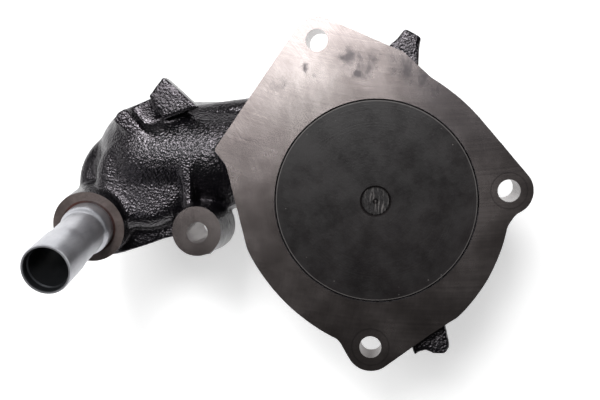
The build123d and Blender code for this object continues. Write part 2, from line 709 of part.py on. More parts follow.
write(pump_housing(), "pump_housing")
write(bypass_tube(), "bypass_tube")
write(tube_sealant(), "tube_sealant")
write(shaft(), "shaft")
write(impeller(), "impeller")
write(pulley_hub(), "pulley_hub")
write(slinger(), "slinger")
write(seat_cup(), "seat_rubber_cup")
write(ceramic_seat(), "ceramic_seat")
write(carbon_ring(), "carbon_ring")
write(face_ferrule(), "carbon_ferrule")
write(seal_bellows(), "seal_bellows")
write(seal_spring(), "seal_spring")
write(seal_cup(), "seal_cup")
write(bearing_outer_ring(), "bearing_outer_ring")
write(bearing_seal(-69.2, -66.6), "rear_bearing_seal")
write(bearing_seal(-107.4, -104.8), "front_bearing_seal")
write(bearing_balls(), "bearing_balls")
write(ball_cage(), "ball_cage")
write(bearing_rollers(), "bearing_rollers")
write(roller_cage(), "roller_cage")
write(bearing_circlip(), "bearing_circlip")
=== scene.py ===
import json
import math

import bmesh
import bpy
import numpy as np
from mathutils import Matrix, Vector, noise


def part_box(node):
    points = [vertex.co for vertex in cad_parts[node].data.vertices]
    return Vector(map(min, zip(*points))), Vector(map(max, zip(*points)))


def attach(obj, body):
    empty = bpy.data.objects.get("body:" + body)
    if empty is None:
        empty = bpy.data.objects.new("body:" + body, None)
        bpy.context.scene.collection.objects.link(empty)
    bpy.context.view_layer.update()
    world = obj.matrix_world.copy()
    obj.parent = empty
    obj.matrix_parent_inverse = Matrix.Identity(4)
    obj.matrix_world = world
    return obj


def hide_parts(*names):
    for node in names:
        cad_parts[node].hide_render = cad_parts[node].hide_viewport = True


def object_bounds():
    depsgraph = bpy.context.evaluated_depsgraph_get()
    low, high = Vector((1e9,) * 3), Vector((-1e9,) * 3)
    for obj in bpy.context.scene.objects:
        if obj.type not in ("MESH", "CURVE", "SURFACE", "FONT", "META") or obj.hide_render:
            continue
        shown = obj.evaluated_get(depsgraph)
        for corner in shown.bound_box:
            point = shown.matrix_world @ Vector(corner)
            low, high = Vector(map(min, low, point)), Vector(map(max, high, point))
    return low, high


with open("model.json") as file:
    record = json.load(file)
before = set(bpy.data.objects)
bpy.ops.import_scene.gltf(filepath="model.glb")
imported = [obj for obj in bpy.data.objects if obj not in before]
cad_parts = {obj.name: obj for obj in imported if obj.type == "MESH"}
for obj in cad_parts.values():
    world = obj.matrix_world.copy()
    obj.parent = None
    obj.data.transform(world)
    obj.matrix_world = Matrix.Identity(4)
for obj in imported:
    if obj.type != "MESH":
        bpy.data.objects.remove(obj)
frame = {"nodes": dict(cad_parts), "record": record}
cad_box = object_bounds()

# Looks for a belt-driven coolant pump: a sand-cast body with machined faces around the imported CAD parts.
# Every length is in metres, in the frame of the CAD model: +Z is out of the mounting face.

MM = 0.001
FLOOR_HALF = 3.0

# ---- camera and light ---------------------------------------------------------------------------

CAMERA_AT = (0.01090, 0.03656, 0.45122)
CAMERA_X = (0.99431549, -0.00423438, -0.10638971)
CAMERA_Y = (-0.00423438, 0.99684582, -0.07924948)
CAMERA_Z = (0.10638971, 0.07924948, 0.99116131)
CAMERA_LENS = 54.78
SENSOR_WIDTH = 36.0

# name, place, target, size and power of each area light
LIGHTS = (
    ("key_lamp", (-0.08, 0.49, 1.12), (0.0, 0.0, 0.0), (0.26, 0.26), 6.1),
    ("overhead_softbox", (-0.28, 0.49, 1.10), (0.0, 0.0, 0.0), (0.80, 0.72), 9.8),
    ("side_softbox", (-1.1, -0.1, 0.45), (-0.05, 0.0, -0.02), (0.6, 0.8), 1.5),
)

# brightness of the world low down and overhead, and the heights between which it changes
HORIZON = 0.85
CEILING = 0.025
SWEEP_START = 0.04
SWEEP_END = 0.45
FLOOR_GLOW = 0.50
FLOOR_WHITE = 0.95

# ---- surface details, in millimetres ------------------------------------------------------------

# finger marks on the face: middle X, middle Y and radius
STAINS = (
    (-13.0, 71.0, 6.0), (-4.0, 69.0, 7.5), (-34.0, 65.0, 4.0), (-48.0, 57.0, 5.0), (-7.0, 63.0, 5.0),
    (14.0, 66.0, 10.0), (31.0, 54.0, 10.0), (22.0, 61.0, 8.0),
)
# middle X and Y of a painted highlight: a lighter patch of iron where the reflection of the light is
# brightest
HIGHLIGHT_PATCH_AT = (-35.0, 54.0)
# rings left by bolt heads' spot faces: middle X, middle Y and radius
SPOT_FACES = ((64.8, 5.4, 8.8), (-2.4, -73.3, 9.3))
BOLT_HOLES = ((-29.0, 79.3), (64.8, 5.4), (-2.4, -73.3), (-90.0, -16.4))

# ---- casting ------------------------------------------------------------------------------------

VOXEL = 0.0010
SMOOTH_STEPS = 2
FILLET_STEPS = 10
CONVEX_SHARE = 0.16
FACE_GROWTH = 0.0030
SAND_HEIGHT = 0.00010
MAX_TRIANGLES = 190000
BOX_MARGIN = 0.02 * MM
SHARP_ANGLE = 40.0

# machined bores and seats, as in the CAD model
TUBE_INSIDE_R = 10.85 * MM
BOLT_HOLE_R = 5.5 * MM
BOLT_HOLE_DEPTH = 60 * MM
BORE_R = 50.2 * MM
BORE_CHAMFER = 0.35 * MM
BORE_CUT_DEPTH = 4.6 * MM
SEAT_FROM_HOSE_END = 50.4 * MM
SEAT_CUT_R = 28.1 * MM
SOCKET_R = 13.2 * MM
SOCKET_DEPTH = 12.0 * MM
SOCKET_MOUTH_R = 14.4 * MM
SOCKET_MOUTH_DEPTH = 1.3 * MM
SOCKET_FLOOR_R = 10.8 * MM
SOCKET_FLOOR_DEPTH = 56 * MM
SEAL_BORE_R = 18.25 * MM
SEAL_BORE_Z = (-61 * MM, -51 * MM)
WEEP_R = 21.0 * MM
WEEP_Z = (-66.5 * MM, -60 * MM)
BEARING_R = 23.5 * MM
BEARING_Z = (-113 * MM, -66 * MM)
CLIP_GROOVE_R = 24.9 * MM
CLIP_GROOVE_Z = (-110.1 * MM, -108.2 * MM)
OUTLET_FACE_R = 26 * MM
OUTLET_BORE_R = 11.0 * MM
OUTLET_BORE_DEPTH = 20 * MM
OUTLET_TAP_R = 3.4 * MM
OUTLET_TAP_DEPTH = 14 * MM
ABOVE = 0.02
ABOVE_SEAT = 0.03
ABOVE_OUTLET = 0.01


def add_camera():
    """The photograph's view, fixed by the direction of the bolt holes and a chosen distance."""
    data = bpy.data.cameras.new("view_camera")
    data.lens = CAMERA_LENS
    data.sensor_width = SENSOR_WIDTH
    data.clip_start = 0.01
    data.clip_end = 20.0
    camera = bpy.data.objects.new("view_camera", data)
    bpy.context.scene.collection.objects.link(camera)
    turn = Matrix((CAMERA_X, CAMERA_Y, CAMERA_Z)).transposed().to_4x4()
    camera.matrix_world = Matrix.Translation(CAMERA_AT) @ turn
    bpy.context.scene.camera = camera


def add_area_light(name, place, target, size, power):
    """A white rectangular light at place, aimed at target, that the camera doesn't see."""
    data = bpy.data.lights.new(name, "AREA")
    data.shape = "RECTANGLE"
    data.size = size[0]
    data.size_y = size[1]
    data.energy = power
    light = bpy.data.objects.new(name, data)
    light.location = place
    light.rotation_euler = (Vector(target) - Vector(place)).to_track_quat("-Z", "Y").to_euler()
    light.visible_camera = False
    bpy.context.scene.collection.objects.link(light)


def add_world():
    """White sweep near the horizon that darkens towards the ceiling."""
    world = bpy.data.worlds.new("studio_world")
    world.use_nodes = True
    nodes = world.node_tree.nodes
    links = world.node_tree.links
    way = nodes.new("ShaderNodeTexCoord").outputs["Generated"]
    split = nodes.new("ShaderNodeSeparateXYZ")
    links.new(way, split.inputs[0])
    span = nodes.new("ShaderNodeMapRange")
    span.interpolation_type = "SMOOTHSTEP"
    links.new(split.outputs["Z"], span.inputs["Value"])
    span.inputs["From Min"].default_value = SWEEP_START
    span.inputs["From Max"].default_value = SWEEP_END
    span.inputs["To Min"].default_value = HORIZON
    span.inputs["To Max"].default_value = CEILING
    background = nodes["Background"]
    background.inputs["Color"].default_value = (1.0, 1.0, 1.0, 1.0)
    links.new(span.outputs["Result"], background.inputs["Strength"])
    bpy.context.scene.world = world
    bpy.context.scene.view_settings.view_transform = "Standard"


def add_studio(floor_z):
    """A lamp and a large softbox high on the +Y side, a weak one on the -X side, and a pale floor."""
    for light in LIGHTS:
        add_area_light(*light)
    add_world()
    mesh = bpy.data.meshes.new("studio_floor")
    corners = [(-1, -1), (1, -1), (1, 1), (-1, 1)]
    spread = [(x * FLOOR_HALF, y * FLOOR_HALF, floor_z) for x, y in corners]
    mesh.from_pydata(spread, [], [(0, 1, 2, 3)])
    floor = bpy.data.objects.new("studio_floor", mesh)
    bpy.context.scene.collection.objects.link(floor)
    shade = Shade("studio_floor_paint")
    shade.put("Base Color", (FLOOR_WHITE, FLOOR_WHITE, FLOOR_WHITE, 1.0))
    shade.put("Roughness", 0.9)
    shade.put("Emission Color", (1.0, 1.0, 1.0, 1.0))
    shade.put("Emission Strength", FLOOR_GLOW)
    mesh.materials.append(shade.material)


# ---- node helpers -------------------------------------------------------------------------------

class Shade:
    """Builds one node material on a Principled shader, with its textures in object coordinates."""

    def __init__(self, name):
        self.material = bpy.data.materials.new(name)
        self.material.use_nodes = True
        self.nodes = self.material.node_tree.nodes
        self.links = self.material.node_tree.links
        self.shader = self.nodes["Principled BSDF"]
        self.place = self.nodes.new("ShaderNodeTexCoord").outputs["Object"]

    def put(self, socket, value):
        """Give one of the shader's own sockets a value or a link."""
        if isinstance(value, bpy.types.NodeSocket):
            self.links.new(value, self.shader.inputs[socket])
        else:
            self.shader.inputs[socket].default_value = value

    def feed(self, node, key, value):
        """Give one input of any node a value or a link."""
        if isinstance(value, bpy.types.NodeSocket):
            self.links.new(value, node.inputs[key])
        else:
            node.inputs[key].default_value = value

    def noise(self, scale, detail=4.0, rough=0.55, place=None):
        node = self.nodes.new("ShaderNodeTexNoise")
        self.feed(node, "Vector", place or self.place)
        self.feed(node, "Scale", scale)
        self.feed(node, "Detail", detail)
        self.feed(node, "Roughness", rough)
        return node.outputs["Fac"]

    def cells(self, scale):
        """Distance to the nearest of many scattered points."""
        node = self.nodes.new("ShaderNodeTexVoronoi")
        self.feed(node, "Vector", self.place)
        self.feed(node, "Scale", scale)
        return node.outputs["Distance"]

    def maths(self, operation, a, b=0.0):
        node = self.nodes.new("ShaderNodeMath")
        node.operation = operation
        self.feed(node, 0, a)
        self.feed(node, 1, b)
        return node.outputs[0]

    def span(self, value, low, high, to_low=0.0, to_high=1.0):
        """Smooth step from to_low to to_high as value goes from low to high."""
        node = self.nodes.new("ShaderNodeMapRange")
        node.interpolation_type = "SMOOTHSTEP"
        self.feed(node, "Value", value)
        self.feed(node, "From Min", low)
        self.feed(node, "From Max", high)
        self.feed(node, "To Min", to_low)
        self.feed(node, "To Max", to_high)
        return node.outputs["Result"]

    def blend(self, share, first, second):
        """Mix of two colours, with share of the second."""
        node = self.nodes.new("ShaderNodeMix")
        node.data_type = "RGBA"
        self.feed(node, "Factor", share)
        colours = [s for s in node.inputs if s.type == "RGBA"]
        for socket, colour in zip(colours, (first, second)):
            if isinstance(colour, bpy.types.NodeSocket):
                self.links.new(colour, socket)
            else:
                socket.default_value = (*colour, 1.0)
        return [s for s in node.outputs if s.type == "RGBA"][0]

    def stretched(self, scale, turn=(0.0, 0.0, 0.0), shift=(0.0, 0.0, 0.0)):
        """Object coordinates, shifted, turned and scaled on each axis."""
        node = self.nodes.new("ShaderNodeMapping")
        node.vector_type = "POINT"
        self.links.new(self.place, node.inputs["Vector"])
        node.inputs["Location"].default_value = shift
        node.inputs["Rotation"].default_value = turn
        node.inputs["Scale"].default_value = scale
        return node.outputs["Vector"]

    def parts(self):
        """X, Y and Z of the object coordinates."""
        node = self.nodes.new("ShaderNodeSeparateXYZ")
        self.links.new(self.place, node.inputs[0])
        return node.outputs

    def joined(self, x, y, z):
        node = self.nodes.new("ShaderNodeCombineXYZ")
        for key, value in zip("XYZ", (x, y, z)):
            self.feed(node, key, value)
        return node.outputs[0]

    def radius_about(self, centre):
        """Distance from an upright axis through centre."""
        x, y, _ = self.parts()
        dx = self.maths("SUBTRACT", x, centre[0])
        dy = self.maths("SUBTRACT", y, centre[1])
        squares = self.maths("ADD", self.maths("MULTIPLY", dx, dx), self.maths("MULTIPLY", dy, dy))
        return self.maths("SQRT", squares)

    def bump(self, height, distance, strength=1.0):
        node = self.nodes.new("ShaderNodeBump")
        self.feed(node, "Strength", strength)
        self.feed(node, "Distance", distance)
        self.feed(node, "Height", height)
        return node.outputs["Normal"]


# ---- materials ----------------------------------------------------------------------------------

def cast_paint():
    """Black paint over coarse sand-cast iron, with grit that catches the light."""
    s = Shade("cast_paint")
    grit = s.noise(930.0, 1.0, 0.5)
    fine = s.noise(1500.0, 1.0, 0.5)
    sand = s.noise(360.0, 2.0, 0.5)
    patches = s.noise(34.0, 3.0, 0.6)
    # faint lighter specks in the black paint: dust, and painted glints standing in for the sparkle of the
    # grit
    dust_and_glint_specks = s.span(fine, 0.55, 0.72)
    s.put("Base Color", s.blend(dust_and_glint_specks, (0.0022, 0.0020, 0.0028), (0.012, 0.0105, 0.0125)))
    s.put("Roughness", s.span(s.noise(260.0, 3.0), 0.3, 0.7, 0.17, 0.27))
    s.put("Specular IOR Level", 0.66)
    s.put("Specular Tint", (1.0, 0.93, 1.0, 1.0))
    height = s.maths("ADD", grit, s.maths("MULTIPLY", fine, 0.22))
    height = s.maths("ADD", height, s.maths("MULTIPLY", sand, 0.35))
    coverage = s.span(patches, 0.34, 0.58, 0.45, 1.0)
    s.put("Normal", s.bump(s.maths("MULTIPLY", height, coverage), 0.00050))
    return s.material


def stain_share(s):
    """Soft finger marks at a few places on the upper half of the face."""
    x, y, _ = s.parts()
    shifted = s.stretched((1, 1, 1), shift=(0.4, 0, 0))
    warp_x = s.maths("MULTIPLY", s.maths("SUBTRACT", s.noise(160.0, 3.0), 0.5), 0.014)
    warp_y = s.maths("MULTIPLY", s.maths("SUBTRACT", s.noise(150.0, 3.0, 0.5, shifted), 0.5), 0.014)
    warped_x = s.maths("ADD", x, warp_x)
    warped_y = s.maths("ADD", y, warp_y)
    total = 0.0
    for cx, cy, radius in STAINS:
        away = distance_from(s, warped_x, warped_y, cx, cy)
        spot = s.span(away, radius * 0.2 * MM, radius * MM, 1.0, 0.0)
        total = s.maths("MAXIMUM", spot, total)
    return total


def distance_from(s, x, y, centre_x, centre_y):
    """Distance in the XY plane from a point given in millimetres."""
    dx = s.maths("SUBTRACT", x, centre_x * MM)
    dy = s.maths("SUBTRACT", y, centre_y * MM)
    return s.maths("SQRT", s.maths("ADD", s.maths("MULTIPLY", dx, dx), s.maths("MULTIPLY", dy, dy)))


def milled_iron():
    """Bare grey iron left by a face mill: fine arcs, warm stain, a painted highlight patch at the upper left,
    and smudges.
    """
    s = Shade("milled_iron")
    x, y, _ = s.parts()
    # arcs of two passes of a big cutter, whose centres lie far off to one side
    sweep = s.radius_about((0.030, 0.30))
    marks = s.noise(1.0, 2.0, 0.6, s.joined(s.maths("MULTIPLY", sweep, 760.0), 0.0, 0.0))
    cross = s.radius_about((-0.16, -0.02))
    cross_marks = s.noise(1.0, 2.0, 0.6, s.joined(s.maths("MULTIPLY", cross, 1000.0), 0.0, 0.0))
    stain = s.noise(30.0, 4.0, 0.6)
    mottle = s.noise(95.0, 5.0, 0.65)
    streaks = s.noise(110.0, 4.0, 0.65, s.stretched((1.0, 0.35, 1.0), (0.0, 0.0, 0.5)))
    smudge = s.maths("MULTIPLY", stain_share(s), s.span(streaks, 0.34, 0.58, 0.15, 1.0))
    base = s.blend(s.span(stain, 0.3, 0.7), (0.231, 0.201, 0.194), (0.312, 0.276, 0.269))
    base = s.blend(s.span(mottle, 0.42, 0.70, 0.0, 0.35), base, (0.154, 0.129, 0.124))
    arcs = s.maths("MULTIPLY", s.span(marks, 0.38, 0.66), s.span(x, -0.02, 0.05, 0.20, 0.38))
    base = s.blend(arcs, base, (0.118, 0.104, 0.106))
    crossed = s.maths("MULTIPLY", s.span(cross_marks, 0.40, 0.66), s.span(x, -0.02, 0.05, 0.30, 0.12))
    base = s.blend(crossed, base, (0.131, 0.111, 0.111))
    bluish = s.maths("MULTIPLY", s.span(x, 0.0, 0.035), s.span(y, 0.0, 0.04))
    base = s.blend(s.maths("MULTIPLY", bluish, 0.32), base, (0.108, 0.105, 0.121))
    # painted highlight: lighter iron around the upper left, where the reflection of the light peaks
    painted_highlight = s.span(distance_from(s, x, y, *HIGHLIGHT_PATCH_AT), 6 * MM, 31 * MM, 0.50, 0.0)
    painted_highlight = s.maths("MULTIPLY", painted_highlight, s.span(streaks, 0.30, 0.62, 0.45, 1.0))
    base = s.blend(painted_highlight, base, (0.52, 0.475, 0.46))
    base = s.blend(s.maths("MULTIPLY", smudge, 0.92), base, (0.064, 0.058, 0.061))
    for cx, cy, radius in SPOT_FACES:
        off = s.maths("ABSOLUTE", s.maths("SUBTRACT", distance_from(s, x, y, cx, cy), radius * MM))
        base = s.blend(s.span(off, 0.0, 0.0005, 0.55, 0.0), base, (0.054, 0.049, 0.051))
    s.put("Base Color", base)
    s.put("Metallic", 1.0)
    rough = s.span(stain, 0.3, 0.7, 0.23, 0.28)
    s.put("Roughness", s.maths("ADD", rough, s.maths("MULTIPLY", smudge, 0.06)))
    height = s.maths("ADD", s.maths("MULTIPLY", marks, 0.6), s.maths("MULTIPLY", cross_marks, 0.4))
    s.put("Normal", s.bump(height, 0.00003, 0.6))
    return s.material


def seat_iron():
    """Turned iron of the tube's seat: duller and browner than the milled face."""
    s = Shade("seat_iron")
    grain = s.noise(700.0, 3.0, 0.6)
    stain = s.noise(120.0, 4.0, 0.6)
    base = s.blend(s.span(stain, 0.3, 0.7), (0.085, 0.066, 0.062), (0.150, 0.120, 0.112))
    base = s.blend(s.span(grain, 0.45, 0.75, 0.0, 0.4), base, (0.050, 0.040, 0.038))
    s.put("Base Color", base)
    s.put("Metallic", 0.25)
    s.put("Roughness", s.span(stain, 0.3, 0.7, 0.42, 0.55))
    s.put("Normal", s.bump(grain, 0.00005, 0.5))
    return s.material


def impeller_iron():
    """Dark oxidised disc with faint turning rings and a few bright specks."""
    s = Shade("impeller_iron")
    radius = s.radius_about((0.0, 0.0))
    rings = s.noise(1.0, 2.0, 0.6, s.joined(s.maths("MULTIPLY", radius, 1500.0), 0.0, 0.0))
    grain = s.noise(900.0, 3.0, 0.6)
    cloud = s.noise(30.0, 5.0, 0.65)
    base = s.blend(s.span(cloud, 0.3, 0.7), (0.0065, 0.0052, 0.0055), (0.0165, 0.0138, 0.0143))
    base = s.blend(s.span(grain, 0.5, 0.75, 0.0, 0.5), base, (0.014, 0.012, 0.012))
    # specks where the casting skin has chipped near the rim
    specks = s.span(s.cells(260.0), 0.050, 0.075, 1.0, 0.0)
    specks = s.maths("MULTIPLY", specks, s.span(radius, 0.043, 0.0465))
    base = s.blend(s.maths("MULTIPLY", specks, 0.6), base, (0.30, 0.28, 0.27))
    # lighter ring along the rim's chamfer: bare turned metal, and a painted highlight of the light the edge
    # catches
    base = s.blend(s.span(radius, 0.04925, 0.0494), base, (0.12, 0.112, 0.110))
    s.put("Base Color", base)
    s.put("Roughness", s.span(s.noise(70.0, 5.0, 0.7), 0.3, 0.7, 0.27, 0.40))
    s.put("Specular IOR Level", 0.36)
    height = s.maths("ADD", s.maths("MULTIPLY", rings, 0.45), s.maths("MULTIPLY", grain, 0.55))
    s.put("Normal", s.bump(height, 0.00008, 0.7))
    return s.material


def shaft_steel():
    """Ground steel, with a dark oiled end where it shows in the impeller."""
    s = Shade("shaft_steel")
    grain = s.noise(700.0, 3.0, 0.6)
    _, _, height = s.parts()
    end = s.span(height, -0.004, -0.002)
    scratch = s.noise(1.0, 3.0, 0.6, s.stretched((900.0, 130.0, 100.0)))
    dark = s.blend(s.span(scratch, 0.52, 0.66), (0.016, 0.0145, 0.015), (0.13, 0.12, 0.118))
    s.put("Base Color", s.blend(end, (0.46, 0.46, 0.47), dark))
    s.put("Metallic", s.span(end, 0.0, 1.0, 1.0, 0.35))
    s.put("Roughness", s.span(grain, 0.3, 0.7, 0.26, 0.40))
    s.put("Normal", s.bump(grain, 0.00003, 0.4))
    return s.material


def bright_steel(name, light, dark, rough_low, rough_high, metallic=1.0, grain_scale=700.0):
    """Machined or ground steel with a fine grain and slight colour drift."""
    s = Shade(name)
    grain = s.noise(grain_scale, 3.0, 0.6)
    drift = s.noise(40.0, 3.0, 0.5)
    base = s.blend(s.span(drift, 0.3, 0.7), dark, light)
    base = s.blend(s.span(grain, 0.4, 0.8, 0.0, 0.25), base, tuple(c * 0.6 for c in dark))
    s.put("Base Color", base)
    s.put("Metallic", metallic)
    s.put("Roughness", s.span(s.noise(160.0, 4.0), 0.3, 0.7, rough_low, rough_high))
    s.put("Normal", s.bump(grain, 0.00003, 0.4))
    return s.material


def zinc_tube(seat, lean):
    """Zinc-plated tube: pale blue-grey, with streaks along its length, and painted shade darkening its bore.
    """
    s = Shade("zinc_tube")
    x, y, z = s.parts()
    along = s.stretched((900.0, 900.0, 26.0), (-lean, 0.0, 0.0))
    streaks = s.noise(1.0, 3.0, 0.6, along)
    cloud = s.noise(55.0, 4.0, 0.6)
    base = s.blend(s.span(cloud, 0.3, 0.7), (0.45, 0.455, 0.485), (0.60, 0.60, 0.63))
    base = s.blend(s.span(streaks, 0.45, 0.8, 0.0, 0.4), base, (0.34, 0.35, 0.40))
    across = s.maths("SUBTRACT", x, seat[0])
    up = s.maths("MULTIPLY", s.maths("SUBTRACT", y, seat[1]), math.cos(lean))
    up = s.maths("ADD", up, s.maths("MULTIPLY", s.maths("SUBTRACT", z, seat[2]), math.sin(lean)))
    squares = s.maths("ADD", s.maths("MULTIPLY", across, across), s.maths("MULTIPLY", up, up))
    # painted shade: the tube's bore is coloured near black where it lies in shade
    inside = s.span(s.maths("SQRT", squares), TUBE_INSIDE_R, TUBE_INSIDE_R + 0.2 * MM, 1.0, 0.0)
    s.put("Base Color", s.blend(s.maths("MULTIPLY", inside, 0.90), base, (0.020, 0.024, 0.028)))
    s.put("Metallic", 0.85)
    s.put("Roughness", s.span(cloud, 0.3, 0.7, 0.34, 0.44))
    s.put("Normal", s.bump(streaks, 0.00004, 0.5))
    return s.material


def soft_matt(name, light, dark, rough, scale=600.0, bump=0.00006, specular=0.4):
    """Rubber, nylon, carbon, ceramic or cured compound: matt, with a fine grain."""
    s = Shade(name)
    grain = s.noise(scale, 4.0, 0.6)
    drift = s.noise(60.0, 3.0, 0.5)
    base = s.blend(s.span(drift, 0.3, 0.7), dark, light)
    base = s.blend(s.span(grain, 0.4, 0.8, 0.0, 0.3), base, tuple(c * 0.7 for c in dark))
    s.put("Base Color", base)
    s.put("Roughness", s.span(grain, 0.3, 0.7, rough - 0.06, rough + 0.06))
    s.put("Specular IOR Level", specular)
    s.put("Normal", s.bump(grain, bump, 0.6))
    return s.material


def paint_node(node, material):
    """Give one CAD node a material in place of what it came with."""
    mesh = frame["nodes"][node].data
    mesh.materials.clear()
    mesh.materials.append(material)


# ---- mesh helpers -------------------------------------------------------------------------------

def new_object(name, mesh):
    made = bpy.data.objects.new(name, mesh)
    bpy.context.scene.collection.objects.link(made)
    return made


def cylinder_at(name, radius, low, high, centre=(0.0, 0.0), segments=128, tilt=None):
    """Closed round cutter between two heights, or along a tilted frame."""
    return cone_at(name, radius, radius, low, high, segments, centre, tilt)


def cone_at(name, low_r, high_r, low, high, segments, centre=(0.0, 0.0), tilt=None):
    """Closed tapered cutter between two heights, or along a tilted frame."""
    bm = bmesh.new()
    sizes = {"radius1": low_r, "radius2": high_r, "depth": high - low}
    bmesh.ops.create_cone(bm, cap_ends=True, segments=segments, **sizes)
    bmesh.ops.translate(bm, verts=bm.verts, vec=(centre[0], centre[1], (low + high) / 2))
    return object_from(bm, name, tilt)


def box_at(name, low, high):
    """Closed box cutter between two corners."""
    bm = bmesh.new()
    bmesh.ops.create_cube(bm, size=1.0)
    bmesh.ops.scale(bm, vec=Vector(high) - Vector(low), verts=bm.verts)
    bmesh.ops.translate(bm, vec=(Vector(low) + Vector(high)) / 2, verts=bm.verts)
    return object_from(bm, name)


def object_from(bm, name, tilt=None):
    if tilt is not None:
        bmesh.ops.transform(bm, matrix=tilt, verts=bm.verts)
    mesh = bpy.data.meshes.new(name)
    bm.to_mesh(mesh)
    bm.free()
    return new_object(name, mesh)


def apply_all(piece):
    """Replace a piece's mesh by what its modifiers make of it."""
    graph = bpy.context.evaluated_depsgraph_get()
    made = bpy.data.meshes.new_from_object(piece.evaluated_get(graph))
    old = piece.data
    piece.modifiers.clear()
    piece.data = made
    bpy.data.meshes.remove(old)


def cut_away(piece, cutter):
    """Take a cutter's volume off a piece, and throw the cutter away."""
    step = piece.modifiers.new("cut", "BOOLEAN")
    step.operation = "DIFFERENCE"
    step.solver = "MANIFOLD"
    step.object = cutter
    apply_all(piece)
    bpy.data.objects.remove(cutter)


def welded_copy(source, name):
    """A copy of a CAD node's mesh with its split corners joined again."""
    bm = bmesh.new()
    bm.from_mesh(source.data)
    bmesh.ops.remove_doubles(bm, verts=bm.verts, dist=2e-6)
    return object_from(bm, name)


def grow_plane(points, at, normal, amount):
    """Push the corners that lie on a machined plane outwards, so that the plane can be cut afresh."""
    away = (points - np.array(at)) @ np.array(normal)
    on_plane = np.abs(away) < 4e-5
    points[on_plane] += np.array(normal) * amount


def get_points(mesh):
    points = np.empty(len(mesh.vertices) * 3, np.float64)
    mesh.vertices.foreach_get("co", points)
    return points.reshape(-1, 3)


def set_points(mesh, points):
    mesh.vertices.foreach_set("co", points.astype(np.float32).ravel())
    mesh.update()


def get_normals(mesh):
    normals = np.empty(len(mesh.vertices) * 3, np.float64)
    mesh.vertices.foreach_get("normal", normals)
    return normals.reshape(-1, 3)


def cast_fillets(mesh, steps, convex_share):
    """Fill inside corners as a casting does, and round outside corners only a little."""
    edges = np.empty(len(mesh.edges) * 2, np.int64)
    mesh.edges.foreach_get("vertices", edges)
    first, second = edges[0::2], edges[1::2]
    count = len(mesh.vertices)
    valence = np.bincount(first, minlength=count) + np.bincount(second, minlength=count)
    points = get_points(mesh)
    for _ in range(steps):
        middle = np.empty_like(points)
        for axis in range(3):
            total = np.bincount(first, points[second, axis], count)
            total += np.bincount(second, points[first, axis], count)
            middle[:, axis] = total / valence
        set_points(mesh, points)
        step = middle - points
        outwards = np.einsum("ij,ij->i", step, get_normals(mesh))
        share = np.where(outwards > 0.0, 0.6, 0.6 * convex_share)
        points = points + step * share[:, None]
    set_points(mesh, points)


def sand_surface(mesh, height):
    """Shallow lumps of a sand mould, pushed along the normals."""
    points = get_points(mesh)
    normals = get_normals(mesh)
    lumps = np.empty(len(points))
    for index, point in enumerate(points):
        place = Vector(point)
        broad = noise.noise(place * 120.0)
        fine = noise.noise(place * 420.0 + Vector((3.1, 7.7, 1.3)))
        lumps[index] = 0.55 * broad + 0.75 * fine
    set_points(mesh, points + normals * (lumps * height)[:, None])


def tilt_from(at, normal):
    """Placement whose local Z is normal and whose origin is at."""
    turn = Vector((0, 0, 1)).rotation_difference(Vector(normal))
    return Matrix.Translation(at) @ turn.to_matrix().to_4x4()


# ---- casting ------------------------------------------------------------------------------------

def mount(name):
    """Place, axis and dimensions of one of the record's mounts."""
    found = [m for m in frame["record"]["mounts"] if m["name"] == name][0]
    return Vector(found["pos_m"]), Vector(found["axis"]).normalized(), found["dims"]


def seat_placement():
    """Placement of the tube's seat, and the tube's axis."""
    centre, lean, _ = mount("bypass_tube_end")
    return tilt_from(centre - lean * SEAT_FROM_HOSE_END, lean), lean


def outlet_placement():
    """Placement of the outlet's face, and the way it points."""
    centre, away, _ = mount("outlet_bolts")
    return tilt_from(centre, away), away


def machining_cuts(floor_z):
    """Everything a machine shop takes off the casting: planes, bores, bolt holes and seats."""
    cuts = [box_at("cut_face", (-0.2, -0.2, 0.0), (0.2, 0.2, 0.012))]
    cuts.append(cylinder_at("cut_bore", BORE_R, -BORE_CUT_DEPTH, ABOVE, segments=256))
    low_r, high_r = BORE_R - MM, BORE_R + BORE_CHAMFER + MM
    cuts.append(cone_at("cut_edge", low_r, high_r, -BORE_CHAMFER - MM, MM, 256))
    for index, (x, y) in enumerate(BOLT_HOLES):
        centre = (x * MM, y * MM)
        cuts.append(cylinder_at(f"cut_bolt_{index}", BOLT_HOLE_R, -BOLT_HOLE_DEPTH, ABOVE, centre, 64))
    place, _ = seat_placement()
    for name, radius, depth in (
        ("cut_seat", SEAT_CUT_R, 0.0),
        ("cut_socket", SOCKET_R, SOCKET_DEPTH),
        ("cut_mouth", SOCKET_MOUTH_R, SOCKET_MOUTH_DEPTH),
        ("cut_socket_floor", SOCKET_FLOOR_R, SOCKET_FLOOR_DEPTH),
    ):
        cuts.append(cylinder_at(name, radius, -depth, ABOVE_SEAT, tilt=place))
    cuts.append(cylinder_at("cut_seal_bore", SEAL_BORE_R, *SEAL_BORE_Z))
    cuts.append(cylinder_at("cut_weep", WEEP_R, *WEEP_Z))
    cuts.append(cylinder_at("cut_bearing", BEARING_R, *BEARING_Z))
    cuts.append(cylinder_at("cut_groove", CLIP_GROOVE_R, *CLIP_GROOVE_Z))
    place, _ = outlet_placement()
    cuts.append(cylinder_at("cut_outlet_face", OUTLET_FACE_R, 0.0, ABOVE, tilt=place))
    low = -OUTLET_BORE_DEPTH
    cuts.append(cylinder_at("cut_outlet_bore", OUTLET_BORE_R, low, ABOVE_OUTLET, segments=96, tilt=place))
    for side in (-1, 1):
        cuts.append(tapped_hole(side))
    end_x, end_y = mount("hose_spigot")[0][:2]
    low = (end_x - 0.05, end_y - 0.05, floor_z - 0.01)
    cuts.append(box_at("cut_spigot_end", low, (end_x + 0.05, end_y + 0.05, floor_z)))
    return cuts


